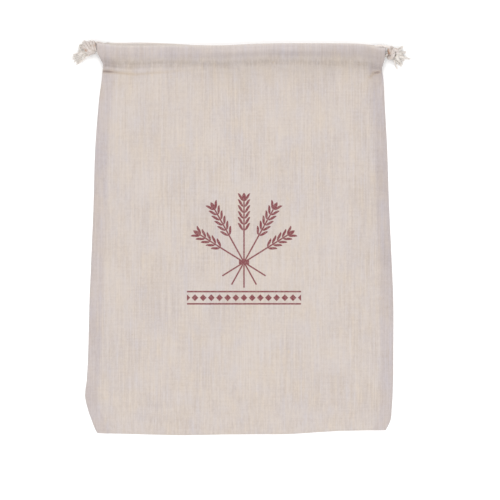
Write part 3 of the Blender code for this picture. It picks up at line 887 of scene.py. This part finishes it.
def through(points, step):
    """Points about a step apart on one smooth curve through a route's own points."""
    spots = np.array(points, float)
    spans = np.linalg.norm(np.diff(spots, axis=0), axis=1)
    slopes = np.diff(spots, axis=0) / spans[:, None]
    inner = slopes[:-1] * spans[1:, None] + slopes[1:] * spans[:-1, None]
    inner /= (spans[:-1] + spans[1:])[:, None]
    tangents = np.concatenate([slopes[:1], inner, slopes[-1:]])
    curve = []
    for n, span in enumerate(spans):
        for t in np.arange(max(1, round(span / step))) / max(1, round(span / step)):
            near = spots[n] * (1 + 2 * t) * (1 - t) ** 2 + tangents[n] * span * t * (1 - t) ** 2
            far = spots[n + 1] * t * t * (3 - 2 * t) - tangents[n + 1] * span * t * t * (1 - t)
            curve.append(near + far)
    return np.array([*curve, spots[-1]])


def tube(path, radii):
    """The corners and faces of a closed tube. radii has a row for each point and a number for each side."""
    path = np.asarray(path, float)
    radii = np.asarray(radii, float)
    count, sides = radii.shape
    ways = np.gradient(path, axis=0)
    ways /= np.linalg.norm(ways, axis=1)[:, None]
    aside = np.cross(ways[0], TUBE_ASIDE)
    rings = []
    for spot, way, widths in zip(path, ways, radii):
        aside = aside - way * (aside @ way)
        aside /= np.linalg.norm(aside)
        turn = math.tau * np.arange(sides) / sides
        ring = np.outer(np.cos(turn), aside) + np.outer(np.sin(turn), np.cross(way, aside))
        rings.append(spot + ring * widths[:, None])
    faces = []
    for n in range(count - 1):
        for k in range(sides):
            near, other = n * sides + k, n * sides + (k + 1) % sides
            faces.append((near, other, other + sides, near + sides))
    faces.append(list(range(sides))[::-1])
    faces.append(list(range((count - 1) * sides, count * sides)))
    return np.concatenate(rings), faces


def twisted(path, radius, pitch=PLY_PITCH, depth=PLY_GROOVE, sides=CORD_SIDES):
    """A cord of three plies twisted together."""
    lengths = np.concatenate([[0.0], np.cumsum(np.linalg.norm(np.diff(path, axis=0), axis=1))])
    turn = math.tau * (np.arange(sides)[None, :] / sides - lengths[:, None] / pitch)
    groove = 1 - np.abs(np.cos(PLIES / 2 * turn))
    return tube(path, radius * (1 - depth * groove))


def joined(parts):
    """Several lots of corners and faces as one."""
    spots, faces, start = [], [], 0
    for own_spots, own_faces in parts:
        spots.append(own_spots)
        faces += [[start + corner for corner in face] for face in own_faces]
        start += len(own_spots)
    return np.concatenate(spots), faces


def bent(head, share):
    """A place on the bend through a head's three points, and the level and upright directions across it."""
    start, middle, end = (np.array(point) for point in head)
    control = middle * 2 - (start + end) / 2
    spot = start * (1 - share) ** 2 + control * 2 * share * (1 - share) + end * share**2
    heading = (control - start) * (1 - share) + (end - control) * share
    heading /= np.linalg.norm(heading)
    aside = np.cross((0, 0, 1), heading)
    return spot, aside / np.linalg.norm(aside), np.array((0.0, 0.0, 1.0))


def make_cord(side, line, hollows, finish):
    """A cord along a line, with painted light where it comes out at the sides and painted shade in its
    knot's hollows.
    """
    spots, faces = twisted(line, CORD / 2)
    # Painted light where the cord comes out, and painted shade in the knot's hollows
    out = between(np.abs(spots[:, 0]), CORD_OUT)
    shades = {"rim_light": CORD_RIM_LIGHT * out, "hollow": hollow_shade(hollows, spots)}
    return mesh_of("cord_" + side, spots, faces, finish, shades)


def hollow_shade(hollows, spots):
    """How deep in a knot's hollows its corners lie, from 0 to 1."""
    total = np.zeros(len(spots))
    for hollow in hollows:
        total += bell(np.hypot(spots[:, 0] - hollow.x, spots[:, 1] - hollow.y), hollow.size)
    return np.clip(total, 0.0, 1.0)


def wound_knot(head):
    """A cord wound round and round along a head, over a plain core."""
    path = []
    for n in range(WIND_STEPS + 1):
        share = n / WIND_STEPS
        spot, aside, above = bent(head, mix(*WIND_SPAN, share))
        width = WIND_RADIUS * mix(WIND_TAPER, 1.0, smooth(min(share, 1 - share) * WIND_EASE))
        turn = math.tau * (WIND_TURNS * share + WIND_START)
        path.append(spot + (aside * math.cos(turn) + above * math.sin(turn)) * width)
    core_line = [bent(head, share)[0] for share in np.linspace(*WIND_SPAN, WIND_CORE_STEPS)]
    rounded = np.sin(np.linspace(WIND_CORE_ROUNDING, math.pi - WIND_CORE_ROUNDING, WIND_CORE_STEPS))
    core = tube(core_line, np.outer(rounded, np.full(WIND_CORE_SIDES, WIND_RADIUS)))
    return joined([twisted(np.array(path), WIND_CORD, WIND_PITCH, WIND_GROOVE), core])


def looped_knot(centre):
    """A cord looped over itself in three lobes and drawn tight, over a plain core."""
    turn = np.linspace(0.0, math.tau * LOOP_TURN, LOOP_STEPS) + LOOP_START
    x = (np.sin(turn) + 2 * np.sin(2 * turn)) * LOOP_SIZE.x
    y = (np.cos(turn) - 2 * np.cos(2 * turn)) * LOOP_SIZE.y
    z = -np.sin(3 * turn) * LOOP_SIZE.z
    lean = math.radians(LOOP_LEAN)
    path = np.stack([x * math.cos(lean) - y * math.sin(lean), x * math.sin(lean) + y * math.cos(lean), z], 1)
    core = tube(np.array(LOOP_CORE) + centre, np.outer(LOOP_CORE_RADII, np.ones(LOOP_CORE_SIDES)))
    return joined([twisted(path + centre, LOOP_CORD, WIND_PITCH, WIND_GROOVE), core])


def frayed(locks):
    """A cord's untwisted end: locks of fibres that leave the knot together, part and sink to the floor."""
    random = np.random.default_rng(LOCK_SEED)
    steps = np.linspace(0.0, 1.0, FIBRE_BENDS)
    widths = np.outer(1 - FIBRE_TAPER * steps, np.full(FIBRE_SIDES, FIBRE))
    parts = []
    for lock in locks:
        root, tip = np.array((*lock.root, 0.0)), np.array((*lock.tip, 0.0))
        heading = (tip - root) / np.linalg.norm(tip - root)
        aside = np.cross((0.0, 0.0, 1.0), heading)
        for _ in range(lock.count):
            across, up, over = random.uniform(-1, 1), random.uniform(0, 1), random.normal(0, FIBRE_STRAY)
            length = random.uniform(*(SHORT_FIBRES if random.uniform() < SHORT_SHARE else LONG_FIBRES))
            curl, phase = random.uniform(*CURL), random.uniform(0, math.tau)
            level, rest = mix(*LOCK_LEVEL, up), mix(FIBRE_LOWEST, LOCK_REST, up)
            path = []
            for t in steps:
                width = mix(lock.width, lock.end_width, smooth(t)) / 2
                swing = curl * t * math.sin(phase + CURL_ACROSS * t)
                lift = curl * t * math.sin(phase + CURL_UP * t)
                spot = root + (tip - root) * length * t + aside * (width * (across + over * t) + swing)
                spot[2] = max(FIBRE_LOWEST, mix(level, rest, smooth(t / FIBRE_SETTLED)) + lift)
                path.append(spot)
            parts.append(tube(path, widths))
    return joined(parts)


def make_stitches(finish):
    """The row of sewing that holds the front's hem."""
    parts = []
    left, right = STITCH_ENDS
    start = left_edge(front_top(left) - STITCH_LINE) + STITCH_INSET
    end = right_edge(front_top(right) - STITCH_LINE) - STITCH_INSET
    bends = len(STITCH_ARCH)
    for x in np.arange(start, end, STITCH_PITCH):
        along = x + np.linspace(0.0, STITCH_LENGTH, bends)
        y = front_top(along) - STITCH_LINE
        z = front_level(along, y) + np.array(STITCH_ARCH)
        parts.append(tube(np.stack([along, y, z], 1), np.full((bends, STITCH_SIDES), STITCH_RADIUS)))
    return mesh_of("hem_stitches", *joined(parts), finish)


def linear(colour):
    """A colour of the photo, from 0 to 255, as the shader takes it under these lights."""
    shares = [part / 255 for part in colour]
    lights = [s / 12.92 if s <= 0.04045 else ((s + 0.055) / 1.055) ** 2.4 for s in shares]
    return (*(LIT_SHARE * light for light in lights), 1.0)


class Graph:
    """A material whose nodes are written as sums and products of one another."""

    def __init__(self, finish):
        self.finish = finish
        self.material = bpy.data.materials.new(finish.name)
        self.material.use_nodes = True
        self.tree = self.material.node_tree
        self.shader = self.tree.nodes["Principled BSDF"]
        self.shader.inputs["Roughness"].default_value = finish.roughness
        self.shader.inputs["Specular IOR Level"].default_value = SPECULAR
        self.shader.inputs["Sheen Weight"].default_value = finish.sheen
        self.shader.inputs["Sheen Roughness"].default_value = SHEEN_ROUGHNESS
        self.place = self.tree.nodes.new("ShaderNodeTexCoord").outputs["Object"]

    def put(self, socket, value):
        if isinstance(value, bpy.types.NodeSocket):
            self.tree.links.new(value, socket)
        else:
            socket.default_value = value

    def math(self, operation, *values, clamp=False):
        node = self.tree.nodes.new("ShaderNodeMath")
        node.operation = operation
        node.use_clamp = clamp
        for socket, value in zip(node.inputs, values):
            self.put(socket, value)
        return node.outputs[0]

    def plus(self, a, b):
        return self.math("ADD", a, b)

    def minus(self, a, b):
        return self.math("SUBTRACT", a, b)

    def times(self, a, b):
        return self.math("MULTIPLY", a, b)

    def size(self, value):
        return self.math("ABSOLUTE", value)

    def blend(self, share, a, b, kind="MIX"):
        node = self.tree.nodes.new("ShaderNodeMix")
        node.data_type = "RGBA"
        node.blend_type = kind
        colours = [socket for socket in node.inputs if socket.type == "RGBA"]
        self.put(node.inputs["Factor"], share)
        self.put(colours[0], a)
        self.put(colours[1], b)
        return node.outputs["Result"] if node.outputs["Result"].type == "RGBA" else node.outputs[2]

    def noise(self, kind):
        """Uneven values about 0.5."""
        scaled = self.tree.nodes.new("ShaderNodeVectorMath")
        scaled.operation = "MULTIPLY"
        self.put(scaled.inputs[0], self.place)
        sizes = (kind.across, kind.along, kind.through)
        scaled.inputs[1].default_value = [1 / (size * MM) for size in sizes]
        node = self.tree.nodes.new("ShaderNodeTexNoise")
        self.put(node.inputs["Vector"], scaled.outputs[0])
        node.inputs["Scale"].default_value = 1.0
        node.inputs["Detail"].default_value = kind.detail
        return node.outputs["Fac"]

    def noises(self, *kinds):
        """Noises added up by their weights."""
        total = 0.0
        for kind in kinds:
            total = self.plus(total, self.times(self.noise(kind), kind.weight))
        return total

    def spread(self, value, low, high, start=0.0, end=1.0):
        """The value's range from low to high, taken evenly to start and end and held beyond them."""
        node = self.tree.nodes.new("ShaderNodeMapRange")
        for socket, given in zip(node.inputs, (value, low, high, start, end)):
            self.put(socket, given)
        return node.outputs[0]

    def shade(self, name):
        """What is painted on the corners under a name."""
        node = self.tree.nodes.new("ShaderNodeAttribute")
        node.attribute_name = name
        return node.outputs["Fac"]

    def axes(self):
        """The place on the object in millimetres."""
        node = self.tree.nodes.new("ShaderNodeSeparateXYZ")
        self.put(node.inputs[0], self.place)
        return [self.math("DIVIDE", node.outputs[n], MM) for n in range(3)]

    def bump(self, height):
        node = self.tree.nodes.new("ShaderNodeBump")
        node.inputs["Strength"].default_value = self.finish.strength
        node.inputs["Distance"].default_value = self.finish.bump * MM
        self.put(node.inputs["Height"], height)
        self.put(self.shader.inputs["Normal"], node.outputs[0])

    def under(self, value, limit):
        """1 where a value is under a limit, with a soft edge."""
        return self.spread(self.minus(value, limit), -EDGE_SOFT, EDGE_SOFT, 1.0, 0.0)

    def line(self, distance, half_width):
        """1 where a distance is under a half width, either way, with a soft edge."""
        return self.under(self.size(distance), half_width)

    def repeat(self, value, pitch):
        """How far a value is from the middle of its own stretch, in a row of equal stretches."""
        return self.minus(self.math("FLOORED_MODULO", value, pitch), pitch / 2)

    def dome(self, share, height):
        """A height that falls off with the square of a share, to 0 at 1."""
        return self.times(self.minus(1.0, self.times(share, share)), height)


def ear_print(graph, ear, x, up):
    """The ink of one ear: grains that lean out from its stem in pairs, one at the tip, and the stem."""
    cos, sin = math.cos(math.radians(ear.angle)), math.sin(math.radians(ear.angle))
    aside = graph.minus(graph.times(x, cos), graph.times(up, sin))
    along = graph.plus(graph.times(x, sin), graph.times(up, cos))
    off = graph.size(aside)
    row = graph.minus(graph.minus(along, graph.times(off, GRAIN_LEAN)), ear.start)
    across = graph.math("DIVIDE", graph.minus(off, GRAIN_MIDDLE), GRAIN_HALF)
    grain = graph.under(graph.size(graph.repeat(row, GRAIN_PITCH)), graph.dome(across, GRAIN_WIDTH))
    half = ear.grains * GRAIN_PITCH / 2
    in_ear = graph.line(graph.minus(row, half), half)
    tip = ear.start + 2 * half + TIP_LIFT
    reach = graph.math("DIVIDE", graph.minus(along, tip), TIP_HALF)
    stem_middle, stem_half = (tip - STEM_BELOW) / 2, (tip + STEM_BELOW) / 2
    return [
        graph.times(grain, in_ear),
        graph.under(off, graph.dome(reach, TIP_WIDTH)),
        graph.times(graph.line(off, STEM_HALF), graph.line(graph.minus(along, stem_middle), stem_half)),
    ]


def band_print(graph, x, up):
    """The ink of the band: a row of lozenges between two rules."""
    cell = graph.repeat(graph.plus(x, LOZENGE_PITCH / 2), LOZENGE_PITCH)
    inks = [graph.line(graph.plus(graph.size(cell), graph.size(up)), LOZENGE_HALF)]
    inks += [graph.line(graph.minus(up, rule), RULE_HALF) for rule in (-BAND_RULE, BAND_RULE)]
    within = graph.line(x, BAND_HALF)
    return [graph.times(ink, within) for ink in inks]


def sheaf_print(graph):
    """Where the print's ink lies, from 0 to 1: five ears of wheat tied together, over a band of lozenges."""
    x, y, _ = graph.axes()
    x = graph.minus(x, PRINT_CENTRE[0])
    y = graph.minus(y, PRINT_CENTRE[1])
    up = graph.minus(y, TIE_LEVEL)
    inks = [graph.times(graph.line(x, TIE_HALF_WIDTH), graph.line(up, TIE_HALF_HEIGHT))]
    for ear in EARS:
        inks += ear_print(graph, ear, x, up)
    inks += band_print(graph, x, graph.minus(y, BAND_LEVEL))
    total = inks[0]
    for ink in inks[1:]:
        total = graph.math("MAXIMUM", total, ink)
    return total


def cloth_material():
    """Plain-woven cotton: uneven threads both ways, seed flecks, painted shade and painted light, and the
    print.
    """
    graph = Graph(WOVEN_FINISH)
    threads = graph.noises(WARP, WEFT, FINE)
    hue = graph.spread(graph.noises(SLUB, PATCH), *HUE_SPAN)
    colour = graph.blend(hue, linear(WARM_COTTON), linear(COOL_COTTON))
    colour = graph.blend(graph.spread(threads, *THREAD_SPAN), linear(DEEP_THREAD), colour)
    colour = graph.blend(graph.spread(graph.noises(BROAD, MOTTLE), *PALE_SPAN), colour, linear(PALE_PATCH))
    warmth = graph.blend(graph.spread(graph.noise(WARMTH), *WARMTH_SPAN), COOLER, WARMER)
    colour = graph.blend(1.0, colour, warmth, "MULTIPLY")
    colour = graph.blend(graph.spread(graph.noise(FLECKS), *FLECK_SPAN), colour, linear(FLECK))
    colour = graph.blend(graph.spread(graph.noise(STAINS), *STAIN_SPAN), colour, linear(STAIN))
    ink = graph.times(sheaf_print(graph), graph.shade("front"))
    worn = graph.spread(graph.noise(WEAR), *WEAR_SPAN)
    colour = graph.blend(graph.times(ink, worn), colour, linear(INK))
    colour = graph.blend(graph.shade("layers"), colour, DOUBLE_LAYER, "MULTIPLY")
    # Painted shade: the casing's tone, with uneven gathers of shade along the sewing
    gather_shade = graph.times(graph.shade("sewn"), graph.spread(graph.noise(GATHERS), *GATHER_SPAN))
    shaded = graph.math("ADD", graph.shade("tone"), gather_shade, clamp=True)
    colour = graph.blend(shaded, colour, SHADOW, "MULTIPLY")
    # Painted light along the rims and near the top of the casing
    colour = graph.blend(graph.shade("rim_light"), colour, linear(RIM_LIGHT))
    # Painted shade in the creases, ochre where faint and brown where deep
    depth = graph.shade("crease")
    crease_shade_colour = graph.blend(graph.spread(depth, *CREASE_SPAN), linear(FAINT_CREASE_SHADE), linear(DEEP_CREASE_SHADE))
    colour = graph.blend(graph.times(depth, CREASE_SHARE), colour, crease_shade_colour)
    graph.put(graph.shader.inputs["Base Color"], colour)
    x, y, _ = graph.axes()
    weave = graph.times(*[graph.math("SINE", graph.times(axis, math.pi / THREAD)) for axis in (x, y)])
    graph.bump(graph.plus(graph.times(graph.size(weave), WEAVE_WEIGHT), threads))
    return graph.material


def cord_material(finish, colour, deep):
    """Soft cotton yarn: uneven fibres, painted shade in the hollows, and painted light where the cord comes
    out at the sides.
    """
    graph = Graph(finish)
    tone = graph.spread(graph.noises(YARN, YARN_PATCHES), *YARN_SPAN)
    mixed = graph.blend(tone, linear(deep), linear(colour))
    # Painted shade in the knot's hollows
    mixed = graph.blend(graph.times(graph.shade("hollow"), HOLLOW_SHARE), mixed, linear(HOLLOW_SHADE_COLOUR))
    # Painted light where the cord comes out at the sides
    mixed = graph.blend(graph.shade("rim_light"), mixed, linear(RIM_LIGHT))
    graph.put(graph.shader.inputs["Base Color"], mixed)
    graph.bump(graph.noise(YARN))
    return graph.material


def dress():
    """Every piece of the bag, riding on its body and standing for its solids."""
    cotton = cloth_material()
    rope = cord_material(CORD_FINISH, CORD_COLOUR, CORD_DEEP)
    ply = cord_material(FIBRE_FINISH, FIBRE_COLOUR, FIBRE_DEEP)
    thread = cord_material(SEWING_FINISH, THREAD_COLOUR, THREAD_DEEP)
    ends = (
        ("left", LEFT_CORD, wound_knot(LEFT_HEAD), LEFT_HOLLOWS, LEFT_LOCKS),
        ("right", RIGHT_CORD, looped_knot(np.array(LOOP_CENTRE)), RIGHT_HOLLOWS, RIGHT_LOCKS),
    )
    for side, route, (spots, faces), hollows, locks in ends:
        line = through(route, CORD_STEP)
        cord = make_cord(side, line, hollows, rope)
        # The knot gets painted shade in its hollows
        knot = mesh_of("knot_wound_" + side, spots, faces, rope, {"hollow": hollow_shade(hollows, spots)})
        fringe = mesh_of("frayed_end_" + side, *frayed(locks), ply)
        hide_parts("drawcord_" + side)
        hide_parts("knot_" + side)
        for piece in (cord, knot, fringe):
            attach(piece, "root")
    bag = make_cloth(cotton)
    stitches = make_stitches(thread)
    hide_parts("bag_cloth")
    floor = make_floor()
    for piece in (bag, stitches):
        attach(piece, "root")


def make_floor():
    """A plain pale floor, far wider than the view."""
    corners = [(-FLOOR, -FLOOR, 0.0), (FLOOR, -FLOOR, 0.0), (FLOOR, FLOOR, 0.0), (-FLOOR, FLOOR, 0.0)]
    graph = Graph(FLOOR_FINISH)
    graph.shader.inputs["Base Color"].default_value = FLOOR_COLOUR
    floor = mesh_of("floor", corners, [(0, 1, 2, 3)], graph.material)
    return floor


def make_camera():
    camera = bpy.data.cameras.new("camera")
    camera.sensor_width = CAMERA_SENSOR
    camera.lens = CAMERA_SENSOR * CAMERA_HEIGHT / VIEW_WIDTH
    camera.clip_start, camera.clip_end = CAMERA_CLIP
    ob = bpy.data.objects.new("camera", camera)
    ob.location = (VIEW_CENTRE[0] * MM, VIEW_CENTRE[1] * MM, CAMERA_HEIGHT * MM)
    bpy.context.scene.collection.objects.link(ob)
    bpy.context.scene.camera = ob


def make_lights():
    world = bpy.data.worlds.new("studio")
    world.use_nodes = True
    background = world.node_tree.nodes["Background"]
    background.inputs["Color"].default_value = (1.0, 1.0, 1.0, 1.0)
    background.inputs["Strength"].default_value = WORLD_LIGHT
    bpy.context.scene.world = world
    for lamp in LAMPS:
        light = bpy.data.lights.new(lamp.name, "AREA")
        light.energy = lamp.energy
        light.size = lamp.size
        ob = bpy.data.objects.new(lamp.name, light)
        ob.location = lamp.place
        ob.rotation_euler = (-Vector(lamp.place)).to_track_quat("-Z", "Y").to_euler()
        bpy.context.scene.collection.objects.link(ob)


bpy.context.scene.view_settings.view_transform = "Standard"
make_camera()
dress()
make_lights()
